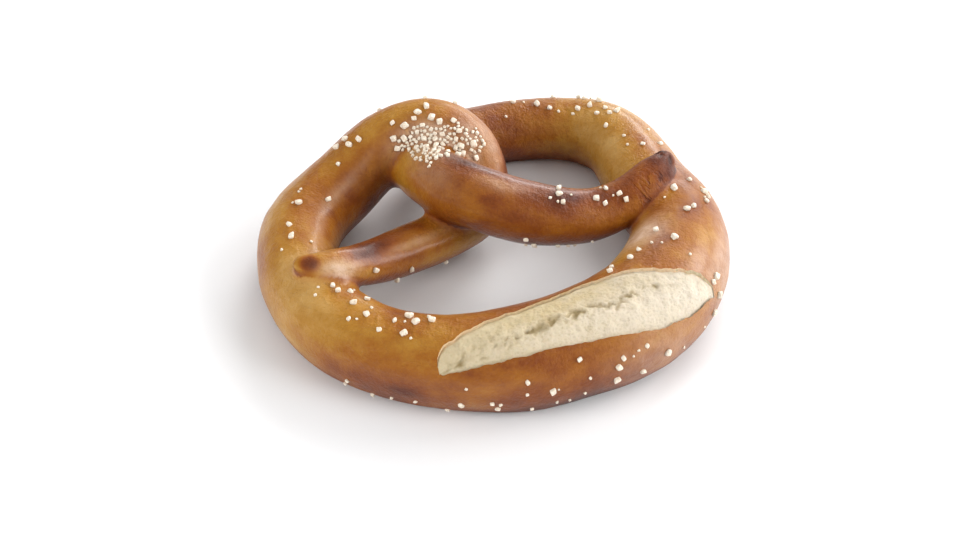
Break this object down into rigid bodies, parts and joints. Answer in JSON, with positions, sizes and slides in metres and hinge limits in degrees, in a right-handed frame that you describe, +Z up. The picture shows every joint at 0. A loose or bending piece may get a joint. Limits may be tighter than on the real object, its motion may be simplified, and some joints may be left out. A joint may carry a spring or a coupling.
{
  "type": "soft pretzel",
  "caption": "Soft baked pretzel: a rope of dough tied with a full twist, thin arms on a thick slashed belly, coarse salt on the crust.",
  "frame": {"origin": "under the middle of the bounding box, on the flat base", "axes": "+X to the right across the pretzel, +Y from the thick belly to the knot, +Z up out of the base"},
  "size_m": [0.1416, 0.1316, 0.0379],
  "materials": {
    "crust": "glossy lye-baked crust, red-brown to golden, pale torn crumb in the slash",
    "salt": "cloudy white coarse salt grains"
  },
  "bodies": {
    "root": {"pretzel": "crust"}
  },
  "joints": []
}
